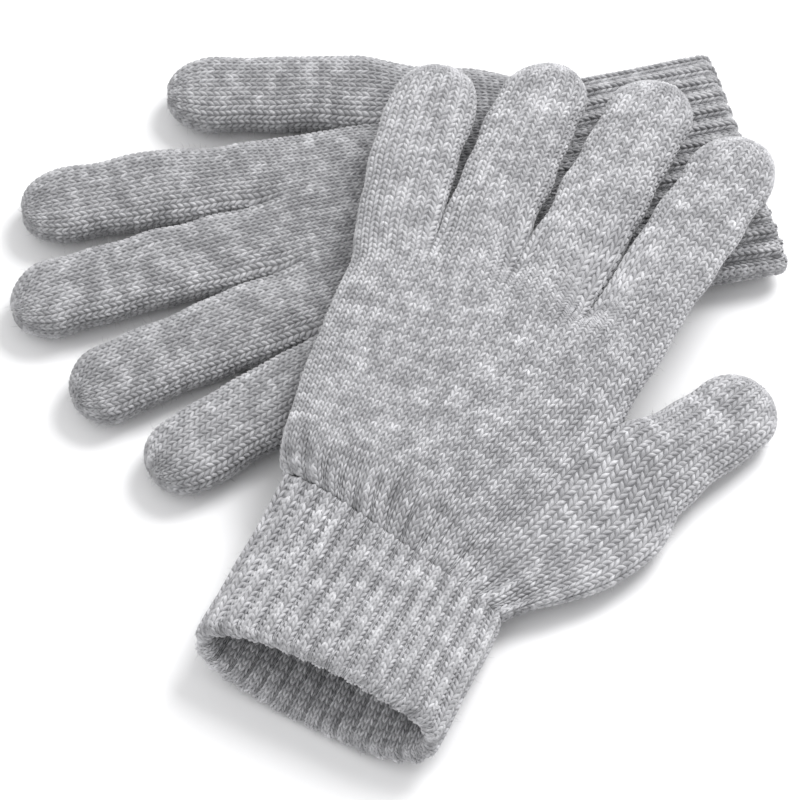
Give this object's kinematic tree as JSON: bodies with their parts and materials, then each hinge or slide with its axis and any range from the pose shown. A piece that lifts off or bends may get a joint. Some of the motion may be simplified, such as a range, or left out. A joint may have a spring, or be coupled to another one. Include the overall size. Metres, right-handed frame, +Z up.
{
  "type": "pair of knitted gloves",
  "caption": "Pair of knitted gloves with ribbed turned-in cuffs, one lying across the other; fingers, thumbs and a cuff bend, and the upper glove lifts off.",
  "frame": {"origin": "middle of the pair's box, on the surface it lies on", "axes": "+Z up; the upper glove's fingers point up and to +X, the lower glove's fingers point to -X"},
  "size_m": [0.2366, 0.2459, 0.0323],
  "materials": {
    "stocking_knit": "brushed marl stocking stitch",
    "ribbed_knit": "brushed marl rib",
    "elastic_yarn": "covered elastic yarn"
  },
  "bodies": {
    "right_palm": {"right_hand": "stocking_knit", "right_cuff_rib": "ribbed_knit", "right_cuff_facing": "ribbed_knit", "right_cuff_elastic": "elastic_yarn"},
    "left_palm": {"left_hand": "stocking_knit"},
    "left_cuff": {"left_cuff_rib": "ribbed_knit", "left_cuff_facing": "ribbed_knit", "left_cuff_elastic": "elastic_yarn"},
    "right_index": {"right_index": "stocking_knit"},
    "right_middle": {"right_middle": "stocking_knit"},
    "right_ring": {"right_ring": "stocking_knit"},
    "right_little": {"right_little": "stocking_knit"},
    "right_thumb": {"right_thumb": "stocking_knit"},
    "left_index": {"left_index": "stocking_knit"},
    "left_middle": {"left_middle": "stocking_knit"},
    "left_ring": {"left_ring": "stocking_knit"},
    "left_little": {"left_little": "stocking_knit"},
    "left_thumb": {"left_thumb": "stocking_knit"}
  },
  "joints": [
    {"name": "left_glove_lift", "type": "slide", "parent": "right_palm", "child": "left_palm", "axis": [0, 0, 1], "range_m": [0, 0.12]},
    {"name": "right_index_bend", "type": "hinge", "parent": "right_palm", "child": "right_index", "pos_m": [-0.04778, 0.07608, 0.016], "axis": [-0.1599, 0.9871, 0], "range_deg": [0, 60]},
    {"name": "right_middle_bend", "type": "hinge", "parent": "right_palm", "child": "right_middle", "pos_m": [-0.0419, 0.05029, 0.016], "axis": [-0.284, 0.9588, 0], "range_deg": [0, 60]},
    {"name": "right_ring_bend", "type": "hinge", "parent": "right_palm", "child": "right_ring", "pos_m": [-0.03279, 0.02546, 0.016], "axis": [-0.4035, 0.915, 0], "range_deg": [0, 60]},
    {"name": "right_little_bend", "type": "hinge", "parent": "right_palm", "child": "right_little", "pos_m": [-0.04114, -0.0104, 0.016], "axis": [-0.5165, 0.8563, 0], "range_deg": [0, 40]},
    {"name": "right_thumb_bend", "type": "hinge", "parent": "right_palm", "child": "right_thumb", "pos_m": [-0.01155, 0.10881, 0.016], "axis": [-0.0175, 0.9998, 0], "range_deg": [0, 60]},
    {"name": "left_index_bend", "type": "hinge", "parent": "left_palm", "child": "left_index", "pos_m": [0.07301, 0.01634, 0.0323], "axis": [0.8686, -0.4955, 0], "range_deg": [0, 60]},
    {"name": "left_middle_bend", "type": "hinge", "parent": "left_palm", "child": "left_middle", "pos_m": [0.04935, 0.02819, 0.0323], "axis": [0.9171, -0.3987, 0], "range_deg": [0, 60]},
    {"name": "left_ring_bend", "type": "hinge", "parent": "left_palm", "child": "left_ring", "pos_m": [0.02455, 0.03741, 0.0323], "axis": [0.9548, -0.2974, 0], "range_deg": [0, 60]},
    {"name": "left_little_bend", "type": "hinge", "parent": "left_palm", "child": "left_little", "pos_m": [-0.00111, 0.0439, 0.0323], "axis": [0.9813, -0.1925, 0], "range_deg": [0, 60]},
    {"name": "left_thumb_bend", "type": "hinge", "parent": "left_palm", "child": "left_thumb", "pos_m": [0.07277, -0.03736, 0.016], "axis": [0.6947, -0.7193, 0], "range_deg": [0, 60]},
    {"name": "left_cuff_bend", "type": "hinge", "parent": "left_palm", "child": "left_cuff", "pos_m": [-0.00136, -0.06308, 0.022], "axis": [-0.9135, 0.4067, 0], "range_deg": [0, 45]}
  ]
}
